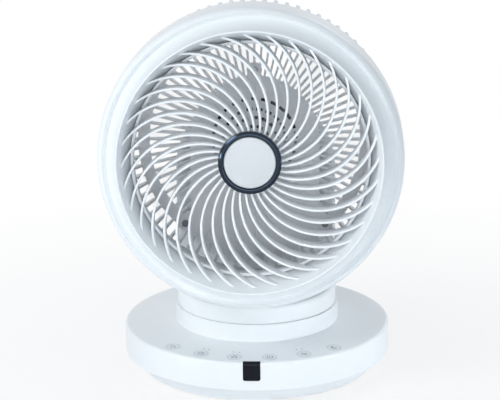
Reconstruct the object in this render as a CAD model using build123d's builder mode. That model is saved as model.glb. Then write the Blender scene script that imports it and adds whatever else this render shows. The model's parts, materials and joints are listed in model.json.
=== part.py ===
from build123d import *
import os
from math import acos, cos, degrees, hypot, pi, radians, sin, sqrt, tan

os.makedirs("parts", exist_ok=True)

# =====================================================================
# Desktop air circulator: a round touch-key base, a neck that swings on
# the base, and a round head that tilts in the fork of the neck.
# Millimetres. Origin at the centre of the base on the table, +Z up,
# the air leaves towards -Y.
# =====================================================================

# ---- base drum ------------------------------------------------------
base_radius = 106.0
base_wall = 2.5
drum_bottom = 14.5
drum_top = 37.0
drum_edge_round = 2.5
drum_low_round = 2.0
crown_rise = 2.4
collar_radius = 65.2
collar_top = 53.5
collar_deck = 3.0
collar_edge_round = 1.2

# ---- foot under the drum --------------------------------------------
foot_inset = 14.5
foot_flare = 6.0
foot_lift = 1.2
foot_wall = 2.5
foot_rim_height = 3.6
rubber_radius = 7.0
rubber_inset = 28.0
rubber_count = 5
rubber_recess = 1.0

# ---- controls on the base -------------------------------------------
window_width = 13.4
window_bottom = 22.3
window_wrap = 3.4
window_depth = 1.5
window_corner = 1.4
pad_radius = 5.7
pad_inset = 10.5
pad_step = 16.5
pad_count = 6
pad_depth = 0.8
pad_proud = 0.12
board_inset = 6.0
board_width = 28.0
board_span = 80.0
board_top = 31.4
board_thickness = 1.6
board_post_radius = 3.0
board_post_inset = 18.0
board_post_count = 3

# ---- fixings and fits -----------------------------------------------
fit_gap = 0.12
slide_gap = 0.06
press_gap = 0.03
face_gap = 0.1
post_radius = 4.0
post_inset = 23.0
post_count = 4
post_start = 45.0
screw_radius = 1.5
screw_head_radius = 2.8
screw_head_height = 1.4
screw_head_room = 0.3
cover_screw_length = 10.0

# ---- ballast and supply ---------------------------------------------
ballast_inset = 31.0
ballast_inner = 30.0
ballast_thickness = 6.0
ballast_span = 250.0
socket_radius = 5.5
socket_length = 13.0
socket_flange_radius = 7.5
socket_flange = 1.5
socket_bore = 2.8
socket_bore_depth = 9.0
socket_pin = 0.9
socket_height = 25.6
socket_sunk = 0.6

# ---- swing drive ----------------------------------------------------
spigot_radius = 20.0
spigot_bore = 15.0
bush_wall = 2.0
bush_flange_radius = 40.0
bush_flange = 0.9
gear_module = 1.25
ring_teeth = 40
pinion_teeth = 16
gear_thickness = 6.0
gear_backlash = 0.3
gear_screw_circle = 17.5
gear_screw_count = 3
gear_screw_start = 30.0
gear_screw_radius = 1.0
gear_screw_head = 1.8
gear_screw_length = 8.5
swing_motor_radius = 23.0
swing_motor_height = 13.0
swing_motor_drop = 1.2
swing_ear_reach = 28.0
swing_ear_radius = 4.2
swing_ear_thickness = 1.6
swing_screw_length = 6.0
swing_shaft_radius = 3.0
swing_shaft_depth = 7.0

# ---- neck -----------------------------------------------------------
neck_radius = 63.3
neck_wall = 3.0
neck_lift = 0.6
neck_drum_top = 68.0
neck_drum_round = 3.0
neck_root_round = 5.0
arch_drop = 24.3
cradle_half_width = 38.6
cradle_floor = 6.0
cable_hole = 6.0
turntable_thickness = 3.6
neck_boss_circle = 56.5
neck_boss_radius = 4.5
neck_boss_count = 3
neck_boss_start = 30.0
neck_screw_length = 8.5

# ---- tilt joint -----------------------------------------------------
tilt_rest = 4.0
tilt_top = 30.0
pivot_back = 14.0
head_over_drum = 2.8
pin_radius = 5.0
pin_reach = 48.0
pin_seat = 6.0
pin_bush_wall = 2.0
pin_end_room = 1.0
head_clearance = 3.0

# ---- front shell, measured forward from the tilt axis ---------------
shell_radius = 116.5
shell_rear = 72.0
shell_shoulder = 100.0
shell_wall = 2.2
rim_inset = 3.9
rim_ahead = 109.0
rim_bulge_inset = 1.2
rim_bulge_ahead = 106.3
groove_inset = 3.1
groove_ahead = 106.2
groove_bow = 0.4
slope_inset = 5.4
slope_ahead = 112.9
lip_inset = 8.9
lip_ahead = 122.0
lip_half = 0.8
lip_root = 6.0
funnel_inset = 9.4
funnel_ahead = 100.0
duct_rear = 84.0

# ---- front grille ---------------------------------------------------
rib_count = 36
rib_width = 1.7
rib_depth = 12.0
rib_curve_share = 0.5318
rib_centre_shift = 0.77
rib_turn = 77.3
rib_start_radius = 22.0
rib_front_hub = 112.0
rib_front_rim = 115.0
grille_rim = 2.4
grille_rim_ahead = 103.5
grille_rim_length = 7.5
hub_cup_radius = 23.2
hub_cup_depth = 8.0
hub_ring_radius = 24.0
hub_ring_height = 5.0
hub_disc_radius = 19.8
hub_disc_height = 4.0

# ---- rear shell -----------------------------------------------------
slat_count = 80
slat_width = 1.6
slat_inset = 3.8
slat_depth = 10.7
rear_back = 18.0
rear_front = 25.0
rear_corner = 14.0
rear_bevel = 11.0
rear_rim_gap = 0.3
rear_rim_wall = 3.4
rear_rim_back = 65.0
rear_rim_ahead = 77.0
mid_ring_ahead = 38.0
mid_ring_width = 2.4
plate_radius = 51.0
plate_thickness = 3.0
band_inset = 10.0
band_width = 9.0
lobe_radius = 6.0
top_screw_out = 4.4
low_screw_out = 4.3
low_screw_inset = 14.6
head_screw_length = 5.8
vent_rings = [(32.6, 26), (24.4, 20), (17.6, 14), (10.6, 8)]
vent_length = 5.2
vent_width = 2.4

# ---- motor housing and motor ----------------------------------------
barrel_radius = 30.0
barrel_half_length = 37.5
barrel_clearance = 1.5
flange_inset = 1.0
motor_plate_radius = 38.0
motor_plate_thickness = 2.0
motor_radius = 24.0
motor_room = 1.2
motor_back = -10.0
bearing_tube_radius = 7.0
bearing_tube_ahead = 57.0
shaft_radius = 3.0
shaft_back = -4.0
shaft_ahead = 90.0

# ---- impeller -------------------------------------------------------
blade_count = 7
blade_tip_gap = 3.2
blade_root_radius = 10.0
blade_root_chord = 15.0
blade_tip_chord = 50.0
blade_root_pitch = 50.0
blade_tip_pitch = 24.0
blade_thickness = 1.8
impeller_hub_radius = 14.0
impeller_back = 61.0
impeller_ahead = 85.0
nut_radius = 6.0
nut_height = 7.0

# ---------------------------------------------------------------------
# Places that follow from the sizes above
# ---------------------------------------------------------------------
foot_radius = base_radius - foot_inset
foot_top_radius = foot_radius + foot_flare
rubber_circle = base_radius - rubber_inset
pad_circle = base_radius - pad_inset
board_outer = base_radius - board_inset
board_inner = board_outer - board_width
board_post_circle = base_radius - board_post_inset
post_circle = base_radius - post_inset
ballast_outer = base_radius - ballast_inset
floor_top = foot_lift + foot_wall
deck_under = collar_top - collar_deck
turntable_bottom = collar_top + bush_flange + face_gap
turntable_top = turntable_bottom + turntable_thickness
neck_bottom = collar_top + neck_lift
ring_gear_top = deck_under - face_gap
ring_gear_bottom = ring_gear_top - gear_thickness
swing_motor_top = ring_gear_bottom - swing_motor_drop
ring_pitch = gear_module * ring_teeth / 2
pinion_pitch = gear_module * pinion_teeth / 2
gear_centres = ring_pitch + pinion_pitch + gear_backlash
rim_radius = shell_radius - rim_inset
rim_bulge = shell_radius - rim_bulge_inset
groove_radius = rim_radius - groove_inset
slope_radius = groove_radius - slope_inset
lip_radius = groove_radius - lip_inset
lip_inner = lip_radius - lip_half
lip_side = lip_ahead - lip_half
funnel_radius = lip_radius - funnel_inset
funnel_slope = (lip_inner - funnel_radius) / (lip_side - funnel_ahead)
rib_curve = lip_radius * rib_curve_share
rib_curve_offset = rib_curve + rib_centre_shift
rear_radius = shell_radius - slat_inset
rear_inner = rear_radius - slat_depth
rear_rim_radius = shell_radius - shell_wall - rear_rim_gap
band_outer = rear_inner - band_inset
band_inner = band_outer - band_width
blade_tip_radius = funnel_radius - blade_tip_gap
pivot_height = neck_drum_top + head_over_drum + shell_radius
arch_centre = pivot_height - arch_drop
low_screw_x = plate_radius + low_screw_out
low_screw_y = -sqrt((rear_inner - low_screw_inset) ** 2 - low_screw_x**2)
screw_spots = [(0, plate_radius + top_screw_out), (-low_screw_x, low_screw_y), (low_screw_x, low_screw_y)]
face_reach = rear_back - head_clearance
neck_face = pivot_back - face_reach
cradle_radius = barrel_radius + barrel_clearance
plate_back = rear_front - plate_thickness
motor_plate_back = plate_back - motor_plate_thickness
pin_bush_radius = pin_radius + pin_bush_wall
pin_bore_end = pin_reach + pin_end_room

pivot = Vector(0, pivot_back, pivot_height)
forward = Vector(0, -cos(radians(tilt_rest)), sin(radians(tilt_rest)))
upward = Vector(0, sin(radians(tilt_rest)), cos(radians(tilt_rest)))
sideways = Vector(1, 0, 0)
head_axis = Axis(pivot, forward)
# Seen from the front: x to the right, y up, z out of the head.
head_face = Plane(origin=pivot, x_dir=sideways, z_dir=forward)
# Half section through the head: x is the radius, y is the way forward.
head_section = Plane(origin=pivot, x_dir=sideways, z_dir=upward * -1)
# Side view of the head: x is up, y is the way forward.
head_side = Plane(origin=pivot, x_dir=upward, z_dir=sideways)


def crown_at(radius):
    """Height of the base's sloping top at a distance from its centre."""
    return drum_top + crown_rise * (base_radius - radius) / (base_radius - collar_radius)


def head_disc(radius, back, ahead, bore=0.0):
    """A round disc or tube on the head's axis."""
    with BuildPart(mode=Mode.PRIVATE) as disc:
        with BuildSketch(head_face.offset(back)):
            Circle(radius)
            if bore > 0:
                Circle(bore, mode=Mode.SUBTRACT)
        extrude(amount=ahead - back)
    return disc.part


def spur_outline(teeth, bore, phase=0.0):
    """A spur wheel's outline: tapered teeth on a root disc."""
    pitch_radius = gear_module * teeth / 2
    root_radius = pitch_radius - 1.2 * gear_module
    tip_radius = pitch_radius + 0.9 * gear_module
    foot_half = 0.9 * gear_module
    tip_half = 0.35 * gear_module
    with BuildSketch(mode=Mode.PRIVATE) as tooth:
        with BuildLine():
            Polyline(
                (root_radius - gear_module / 2, -foot_half),
                (tip_radius, -tip_half),
                (tip_radius, tip_half),
                (root_radius - gear_module / 2, foot_half),
                close=True,
            )
        make_face()
    with BuildSketch(mode=Mode.PRIVATE) as wheel:
        Circle(root_radius)
        with PolarLocations(0, teeth, phase):
            add(tooth.sketch)
        Circle(bore, mode=Mode.SUBTRACT)
    return wheel.sketch


def pan_screws(plane, spots, length, shank=screw_radius, head=screw_head_radius):
    """Screws whose heads stand on a plane, shanks going down its back."""
    with BuildPart(mode=Mode.PRIVATE) as screws:
        with BuildSketch(plane):
            with Locations(*spots):
                Circle(head)
        extrude(amount=screw_head_height)
        with BuildSketch(plane):
            with Locations(*spots):
                Circle(shank)
        extrude(amount=-length)
    return screws.part


def on_circle(radius, count, start):
    """Points evenly spaced on a circle."""
    turns = [radians(start + 360 * k / count) for k in range(count)]
    return [(radius * cos(turn), radius * sin(turn)) for turn in turns]


# =====================================================================
# Base
# =====================================================================


# Display window: a dark lens that wraps over the drum's top edge.
def window_block(grow):
    skin = base_radius - window_depth - grow
    wrap = base_radius - window_wrap - grow
    low = window_bottom - grow
    with BuildPart(mode=Mode.PRIVATE) as block:
        with BuildSketch(Plane.XZ) as section:
            with BuildLine():
                Polyline(
                    (skin, low),
                    (base_radius, low),
                    (base_radius, drum_top),
                    (wrap, crown_at(wrap)),
                    (wrap, crown_at(wrap) - window_depth - grow),
                    (skin, crown_at(skin) - window_depth - grow),
                    close=True,
                )
            make_face()
            fillet(section.vertices().sort_by_distance((base_radius, drum_top))[0], drum_edge_round)
        revolve(axis=Axis.Z)
        with BuildSketch(Plane.XZ.offset(board_inner)):
            with Locations((0, low + drum_top / 2)):
                RectangleRounded(window_width + 2 * grow, drum_top, window_corner + grow)
        extrude(amount=base_radius, mode=Mode.INTERSECT)
    return block.part


with BuildPart() as display_window:
    add(window_block(0.0))
display_window.part.label = "display_window"
export_step(display_window.part, "parts/display_window.step")


# Touch pads: six thin round inlays that follow the sloping top.
def pad_group(radius, proud):
    inner = pad_circle - 1.3 * radius
    outer = pad_circle + 1.3 * radius
    with BuildPart(mode=Mode.PRIVATE) as pads:
        with BuildSketch(Plane.XZ):
            with BuildLine():
                Polyline(
                    (inner, crown_at(inner) - pad_depth),
                    (outer, crown_at(outer) - pad_depth),
                    (outer, crown_at(outer) + proud),
                    (inner, crown_at(inner) + proud),
                    close=True,
                )
            make_face()
        revolve(axis=Axis.Z)
        first = -90 - pad_step * (pad_count - 1) / 2
        with BuildSketch(Plane.XY):
            with PolarLocations(pad_circle, pad_count, first, pad_step * (pad_count - 1), endpoint=True):
                Circle(radius)
        extrude(amount=collar_top, mode=Mode.INTERSECT)
    return pads.part


with BuildPart() as touch_pads:
    add(pad_group(pad_radius, pad_proud))
touch_pads.part.label = "touch_pads"
export_step(touch_pads.part, "parts/touch_pads.step")

# Base shell: drum wall, sloping top and the fixed collar in one moulding.
post_spots = on_circle(post_circle, post_count, post_start)
swing_ears = [(-swing_ear_reach, gear_centres), (swing_ear_reach, gear_centres)]
bush_radius = spigot_radius + slide_gap + bush_wall

with BuildPart() as base_shell:
    with BuildSketch(Plane.XZ) as shell_section:
        with BuildLine():
            Polyline(
                (foot_top_radius + fit_gap, drum_bottom),
                (base_radius, drum_bottom),
                (base_radius, drum_top),
                (collar_radius, crown_at(collar_radius)),
                (collar_radius, collar_top),
                (bush_radius + press_gap, collar_top),
                (bush_radius + press_gap, deck_under),
                (collar_radius - base_wall, deck_under),
                (collar_radius - base_wall, crown_at(collar_radius) - base_wall),
                (base_radius - base_wall, drum_top - base_wall),
                (base_radius - base_wall, drum_bottom + base_wall),
                (foot_top_radius + fit_gap, drum_bottom + base_wall),
                close=True,
            )
        make_face()
        corners = shell_section.vertices()
        fillet(corners.sort_by_distance((base_radius, drum_top))[0], drum_edge_round)
        fillet(corners.sort_by_distance((base_radius, drum_bottom))[0], drum_low_round)
        fillet(corners.sort_by_distance((collar_radius, collar_top))[0], collar_edge_round)
    revolve(axis=Axis.Z)
    # Screw posts that stand on the foot's floor.
    with BuildSketch(Plane.XY.offset(floor_top + face_gap)):
        with Locations(*post_spots):
            Circle(post_radius)
    extrude(amount=drum_top - floor_top - face_gap)
    # Posts for the control board.
    board_reach = board_span * (board_post_count - 1) / board_post_count
    with BuildSketch(Plane.XY.offset(board_top)):
        with PolarLocations(
            board_post_circle, board_post_count, -90 - board_reach / 2, board_reach, endpoint=True
        ):
            Circle(board_post_radius)
    extrude(amount=drum_top - board_top)
    # Bosses for the swing motor under the collar's deck.
    with BuildSketch(Plane.XY.offset(swing_motor_top)):
        with Locations(*swing_ears):
            Circle(swing_ear_radius)
    extrude(amount=deck_under + collar_deck / 2 - swing_motor_top)
    # Blind screw holes in the posts and bosses.
    with BuildSketch(Plane.XY.offset(floor_top + face_gap)):
        with Locations(*post_spots):
            Circle(screw_radius + press_gap)
    extrude(amount=cover_screw_length, mode=Mode.SUBTRACT)
    with BuildSketch(Plane.XY.offset(swing_motor_top)):
        with Locations(*swing_ears):
            Circle(screw_radius + press_gap)
    extrude(amount=swing_screw_length, mode=Mode.SUBTRACT)
    # Hole for the power socket at the back.
    with BuildSketch(Plane.XZ.offset(2 * base_wall - base_radius)):
        with Locations((0, socket_height)):
            Circle(socket_radius + fit_gap)
    extrude(amount=-3 * base_wall, mode=Mode.SUBTRACT)
    add(window_block(fit_gap), mode=Mode.SUBTRACT)
    add(pad_group(pad_radius + fit_gap, drum_edge_round), mode=Mode.SUBTRACT)
base_shell.part.label = "base_shell"
export_step(base_shell.part, "parts/base_shell.step")

# Foot: a shallow dish that closes the drum from below.
with BuildPart() as bottom_cover:
    with BuildSketch(Plane.XZ):
        with BuildLine():
            Polyline(
                (0, foot_lift),
                (foot_radius, foot_lift),
                (foot_top_radius, drum_bottom),
                (foot_top_radius, drum_bottom + foot_rim_height),
                (foot_top_radius - foot_wall, drum_bottom + foot_rim_height),
                (foot_top_radius - foot_wall, drum_bottom),
                (foot_radius - foot_wall, floor_top),
                (0, floor_top),
                close=True,
            )
        make_face()
    revolve(axis=Axis.Z)
    # Pockets for the rubber feet.
    with BuildSketch(Plane.XY.offset(foot_lift)):
        with PolarLocations(rubber_circle, rubber_count, -90):
            Circle(rubber_radius + fit_gap)
    extrude(amount=rubber_recess, mode=Mode.SUBTRACT)
    # Sunk holes for the cover screws.
    with BuildSketch(Plane.XY.offset(foot_lift)):
        with Locations(*post_spots):
            Circle(screw_head_radius + screw_head_room)
    extrude(amount=screw_head_height + face_gap, mode=Mode.SUBTRACT)
    with BuildSketch(Plane.XY.offset(foot_lift)):
        with Locations(*post_spots):
            Circle(screw_radius + fit_gap)
    extrude(amount=foot_wall, mode=Mode.SUBTRACT)
bottom_cover.part.label = "bottom_cover"
export_step(bottom_cover.part, "parts/bottom_cover.step")

# Rubber feet: five discs in their pockets.
with BuildPart() as rubber_feet:
    with BuildSketch(Plane.XY):
        with PolarLocations(rubber_circle, rubber_count, -90):
            Circle(rubber_radius)
    extrude(amount=foot_lift + rubber_recess)
rubber_feet.part.label = "rubber_feet"
export_step(rubber_feet.part, "parts/rubber_feet.step")

# Cover screws, driven up from below.
with BuildPart() as cover_screws:
    screw_seat = Plane.XY.offset(foot_lift + screw_head_height + face_gap)
    with BuildSketch(screw_seat):
        with Locations(*post_spots):
            Circle(screw_head_radius)
    extrude(amount=-screw_head_height)
    with BuildSketch(screw_seat):
        with Locations(*post_spots):
            Circle(screw_radius)
    extrude(amount=cover_screw_length)
cover_screws.part.label = "cover_screws"
export_step(cover_screws.part, "parts/cover_screws.step")

# Ballast: an open steel ring on the floor, clear at the power socket.
with BuildPart() as ballast_plate:
    with BuildSketch(Plane.XZ):
        with Locations(((ballast_outer + ballast_inner) / 2, floor_top + ballast_thickness / 2)):
            Rectangle(ballast_outer - ballast_inner, ballast_thickness)
    revolve(axis=Axis.Z, revolution_arc=ballast_span)
ballast_turn = 90 + (360 - ballast_span) / 2
ballast_plate.part = ballast_plate.part.rotate(Axis.Z, ballast_turn)
ballast_plate.part.label = "ballast_plate"
export_step(ballast_plate.part, "parts/ballast_plate.step")

# Control board: a printed circuit board shaped like the row of pads.
with BuildPart() as control_board:
    with BuildSketch(Plane.XZ):
        with Locations(((board_outer + board_inner) / 2, board_top - board_thickness / 2)):
            Rectangle(board_outer - board_inner, board_thickness)
    revolve(axis=Axis.Z, revolution_arc=board_span)
control_board.part = control_board.part.rotate(Axis.Z, -90 - board_span / 2)
control_board.part.label = "control_board"
export_step(control_board.part, "parts/control_board.step")

# Power socket: a round barrel jack with its centre pin.
with BuildPart() as power_socket:
    flange_face = sqrt((base_radius - base_wall) ** 2 - socket_flange_radius**2) - face_gap
    socket_face = base_radius - socket_sunk
    with BuildSketch(Plane.XZ.offset(-socket_face)):
        with Locations((0, socket_height)):
            Circle(socket_radius)
    extrude(amount=socket_length)
    with BuildSketch(Plane.XZ.offset(-flange_face)):
        with Locations((0, socket_height)):
            Circle(socket_flange_radius)
    extrude(amount=socket_flange)
    with BuildSketch(Plane.XZ.offset(-socket_face)):
        with Locations((0, socket_height)):
            Circle(socket_bore)
            Circle(socket_pin, mode=Mode.SUBTRACT)
    extrude(amount=socket_bore_depth, mode=Mode.SUBTRACT)
power_socket.part.label = "power_socket"
export_step(power_socket.part, "parts/power_socket.step")

# =====================================================================
# Swing drive
# =====================================================================

# Swing bush: the plain bearing pressed into the collar's deck.
with BuildPart() as swing_bush:
    with BuildSketch(Plane.XZ):
        with BuildLine():
            Polyline(
                (spigot_radius + slide_gap, deck_under),
                (bush_radius, deck_under),
                (bush_radius, collar_top),
                (bush_flange_radius, collar_top),
                (bush_flange_radius, collar_top + bush_flange),
                (spigot_radius + slide_gap, collar_top + bush_flange),
                close=True,
            )
        make_face()
    revolve(axis=Axis.Z)
swing_bush.part.label = "swing_bush"
export_step(swing_bush.part, "parts/swing_bush.step")

# Swing motor: a flat geared motor with two fixing ears.
with BuildPart() as swing_motor:
    with BuildSketch(Plane.XY.offset(swing_motor_top)):
        with Locations((0, gear_centres)):
            Circle(swing_motor_radius)
    extrude(amount=-swing_motor_height)
    with BuildSketch(Plane.XY.offset(swing_motor_top)):
        with Locations((0, gear_centres)):
            Rectangle(2 * swing_ear_reach, 2 * swing_ear_radius)
        with Locations(*swing_ears):
            Circle(swing_ear_radius)
    extrude(amount=-swing_ear_thickness)
    with BuildSketch(Plane.XY.offset(swing_motor_top)):
        with Locations(*swing_ears):
            Circle(screw_radius + fit_gap)
    extrude(amount=-swing_ear_thickness, mode=Mode.SUBTRACT)
    with BuildSketch(Plane.XY.offset(swing_motor_top)):
        with Locations((0, gear_centres)):
            Circle(swing_shaft_radius + slide_gap)
    extrude(amount=-swing_shaft_depth - face_gap, mode=Mode.SUBTRACT)
swing_motor.part.label = "swing_motor"
export_step(swing_motor.part, "parts/swing_motor.step")

# Two screws that hold the swing motor's ears.
with BuildPart() as swing_motor_screws:
    with BuildSketch(Plane.XY.offset(swing_motor_top - swing_ear_thickness)):
        with Locations(*swing_ears):
            Circle(screw_head_radius)
    extrude(amount=-screw_head_height)
    with BuildSketch(Plane.XY.offset(swing_motor_top - swing_ear_thickness)):
        with Locations(*swing_ears):
            Circle(screw_radius)
    extrude(amount=swing_screw_length + swing_ear_thickness - face_gap)
swing_motor_screws.part.label = "swing_motor_screws"
export_step(swing_motor_screws.part, "parts/swing_motor_screws.step")

# Swing pinion and its shaft, turned by the swing motor.
with BuildPart() as swing_pinion:
    with BuildSketch(Plane.XY.offset(ring_gear_bottom)):
        with Locations((0, gear_centres)):
            add(spur_outline(pinion_teeth, swing_shaft_radius, 180 / pinion_teeth))
            Circle(swing_shaft_radius + press_gap)
    extrude(amount=gear_thickness - face_gap * 4)
    with BuildSketch(Plane.XY.offset(ring_gear_bottom)):
        with Locations((0, gear_centres)):
            Circle(swing_shaft_radius)
    extrude(amount=-swing_motor_drop - swing_shaft_depth)
swing_pinion.part.label = "swing_pinion"
export_step(swing_pinion.part, "parts/swing_pinion.step")

# Ring gear: screwed under the turntable's spigot, it keeps the neck down.
gear_screw_spots = on_circle(gear_screw_circle, gear_screw_count, gear_screw_start)

with BuildPart() as ring_gear:
    with BuildSketch(Plane.XY.offset(ring_gear_bottom)):
        add(spur_outline(ring_teeth, spigot_bore))
        with Locations(*gear_screw_spots):
            Circle(gear_screw_radius + fit_gap, mode=Mode.SUBTRACT)
    extrude(amount=gear_thickness)
    with BuildSketch(Plane.XY.offset(ring_gear_bottom)):
        with Locations(*gear_screw_spots):
            Circle(gear_screw_head + fit_gap)
    extrude(amount=screw_head_height + face_gap, mode=Mode.SUBTRACT)
ring_gear.part.label = "ring_gear"
export_step(ring_gear.part, "parts/ring_gear.step")

with BuildPart() as gear_screws:
    gear_screw_seat = Plane.XY.offset(ring_gear_bottom + screw_head_height + face_gap)
    with BuildSketch(gear_screw_seat):
        with Locations(*gear_screw_spots):
            Circle(gear_screw_head)
    extrude(amount=-screw_head_height)
    with BuildSketch(gear_screw_seat):
        with Locations(*gear_screw_spots):
            Circle(gear_screw_radius)
    extrude(amount=gear_screw_length)
gear_screws.part.label = "gear_screws"
export_step(gear_screws.part, "parts/gear_screws.step")

# =====================================================================
# Neck
# =====================================================================
neck_boss_spots = on_circle(neck_boss_circle, neck_boss_count, neck_boss_start)

# Turntable: the neck's floor, with the spigot that turns in the bush.
with BuildPart() as turntable:
    with BuildSketch(Plane.XY.offset(turntable_bottom)):
        Circle(neck_radius - neck_wall - fit_gap)
    extrude(amount=turntable_thickness)
    with BuildSketch(Plane.XY.offset(ring_gear_top)):
        Circle(spigot_radius)
    extrude(amount=turntable_bottom - ring_gear_top)
    with BuildSketch(Plane.XY.offset(ring_gear_top)):
        Circle(spigot_bore)
    extrude(amount=turntable_top - ring_gear_top, mode=Mode.SUBTRACT)
    with BuildSketch(Plane.XY.offset(ring_gear_top)):
        with Locations(*gear_screw_spots):
            Circle(gear_screw_radius + press_gap)
    extrude(amount=turntable_bottom - ring_gear_top, mode=Mode.SUBTRACT)
    with BuildSketch(Plane.XY.offset(turntable_bottom)):
        with Locations(*neck_boss_spots):
            Circle(screw_head_radius + screw_head_room)
    extrude(amount=screw_head_height + face_gap, mode=Mode.SUBTRACT)
    with BuildSketch(Plane.XY.offset(turntable_bottom)):
        with Locations(*neck_boss_spots):
            Circle(screw_radius + fit_gap)
    extrude(amount=turntable_thickness, mode=Mode.SUBTRACT)
turntable.part.label = "turntable"
export_step(turntable.part, "parts/turntable.step")

# Three screws that join the turntable and the neck.
with BuildPart() as neck_screws:
    neck_screw_seat = Plane.XY.offset(turntable_bottom + screw_head_height + face_gap)
    with BuildSketch(neck_screw_seat):
        with Locations(*neck_boss_spots):
            Circle(screw_head_radius)
    extrude(amount=-screw_head_height)
    with BuildSketch(neck_screw_seat):
        with Locations(*neck_boss_spots):
            Circle(screw_radius)
    extrude(amount=neck_screw_length)
neck_screws.part.label = "neck_screws"
export_step(neck_screws.part, "parts/neck_screws.step")

# Neck shell: a low drum whose back rises as a domed fork.
arch_top = arch_centre + neck_radius
face_corner = pivot_height + face_reach * tan(radians(tilt_top) / 2)
lean_rise = arch_top - face_corner

with BuildPart() as neck_shell:
    # Upright column with a domed top.
    with BuildSketch(Plane.YZ):
        with BuildLine():
            Polyline((0, arch_top), (0, neck_bottom), (neck_radius, neck_bottom), (neck_radius, arch_centre))
            RadiusArc((neck_radius, arch_centre), (0, arch_top), -neck_radius)
        make_face()
    revolve(axis=Axis.Z)
    # Front cut away: upright behind the head, then leaning back.
    with BuildSketch(Plane.YZ) as front_cut:
        with BuildLine():
            Polyline(
                (-neck_radius - neck_wall, neck_drum_top),
                (neck_face, neck_drum_top),
                (neck_face, face_corner),
                (neck_face + lean_rise * tan(radians(tilt_top)), arch_top),
                (-neck_radius - neck_wall, arch_top),
                close=True,
            )
        make_face()
        fillet(front_cut.vertices().sort_by_distance((neck_face, neck_drum_top))[0], neck_root_round)
    extrude(amount=neck_radius + neck_wall, both=True, mode=Mode.SUBTRACT)
    drum_edges = neck_shell.edges().filter_by(GeomType.CIRCLE)
    drum_edges = drum_edges.filter_by_position(Axis.Z, neck_drum_top - face_gap, neck_drum_top + face_gap)
    fillet(drum_edges, neck_drum_round)
    # Hollow of the drum and of the column.
    with BuildSketch(Plane.XY.offset(neck_bottom)):
        Circle(neck_radius - neck_wall)
    extrude(amount=neck_drum_top - neck_wall - neck_bottom, mode=Mode.SUBTRACT)
    with BuildSketch(Plane.XY.offset(neck_bottom)):
        Circle(neck_radius - neck_wall)
        with Locations((0, neck_face + neck_wall - neck_radius)):
            Rectangle(2 * neck_radius, 2 * neck_radius, mode=Mode.SUBTRACT)
    extrude(amount=pivot_height - cradle_radius - cradle_floor - neck_bottom, mode=Mode.SUBTRACT)
    # Screw bosses inside the wall.
    with BuildSketch(Plane.XY.offset(turntable_top)):
        with Locations(*neck_boss_spots):
            Circle(neck_boss_radius)
        Circle(neck_radius - neck_wall / 2, mode=Mode.INTERSECT)
        with Locations(*neck_boss_spots):
            Circle(screw_radius + press_gap, mode=Mode.SUBTRACT)
    extrude(amount=neck_drum_top - neck_wall - turntable_top)
    # Cradle for the motor barrel, open at the top.
    with BuildSketch(Plane.YZ):
        with Locations((pivot_back, pivot_height)):
            Circle(cradle_radius)
        with Locations((pivot_back, (pivot_height + arch_top + neck_wall) / 2)):
            Rectangle(3 * neck_radius, arch_top + neck_wall - pivot_height)
    extrude(amount=cradle_half_width, both=True, mode=Mode.SUBTRACT)
    with BuildSketch(Plane.XY.offset(pivot_height - cradle_radius - cradle_floor - face_gap)):
        with Locations((0, pivot_back)):
            Circle(cable_hole)
    extrude(amount=2 * cradle_floor, mode=Mode.SUBTRACT)
    # Bores for the tilt bushes.
    with BuildSketch(Plane.YZ):
        with Locations((pivot_back, pivot_height)):
            Circle(pin_bush_radius + press_gap)
    extrude(amount=pin_bore_end, both=True, mode=Mode.SUBTRACT)
neck_shell.part.label = "neck_shell"
export_step(neck_shell.part, "parts/neck_shell.step")

# Tilt bushes: one in each cheek of the fork.
with BuildPart() as tilt_bushes:
    for side in (1, -1):
        with BuildSketch(Plane.YZ.offset(side * (cradle_half_width + face_gap))):
            with Locations((pivot_back, pivot_height)):
                Circle(pin_bush_radius)
                Circle(pin_radius + slide_gap, mode=Mode.SUBTRACT)
        extrude(amount=side * (pin_reach - cradle_half_width - face_gap))
tilt_bushes.part.label = "tilt_bushes"
export_step(tilt_bushes.part, "parts/tilt_bushes.step")

# =====================================================================
# Head: motor housing and drive
# =====================================================================


def keyhole(grow):
    """Outline of the closed plate at the back: round above, skirted below."""
    with BuildSketch(mode=Mode.PRIVATE) as skirt:
        Circle(band_outer + grow)
        with Locations((0, -band_outer)):
            Rectangle(2 * (plate_radius + grow), 2 * band_outer, mode=Mode.INTERSECT)
    with BuildSketch(mode=Mode.PRIVATE) as outline:
        Circle(plate_radius + grow)
        add(skirt.sketch)
        for spot_x, spot_y in screw_spots:
            root = 1 - lobe_radius / hypot(spot_x, spot_y)
            with Locations((spot_x, spot_y), (spot_x * root, spot_y * root)):
                Circle(lobe_radius + grow)
    return outline.sketch


# Tilt pins: fixed in the ends of the motor barrel.
with BuildPart() as tilt_pins:
    for side in (1, -1):
        with BuildSketch(Plane.YZ.offset(side * (barrel_half_length - pin_seat))):
            with Locations((pivot_back, pivot_height)):
                Circle(pin_radius)
        extrude(amount=side * (pin_reach - barrel_half_length + pin_seat))
tilt_pins.part.label = "tilt_pins"
export_step(tilt_pins.part, "parts/tilt_pins.step")

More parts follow.
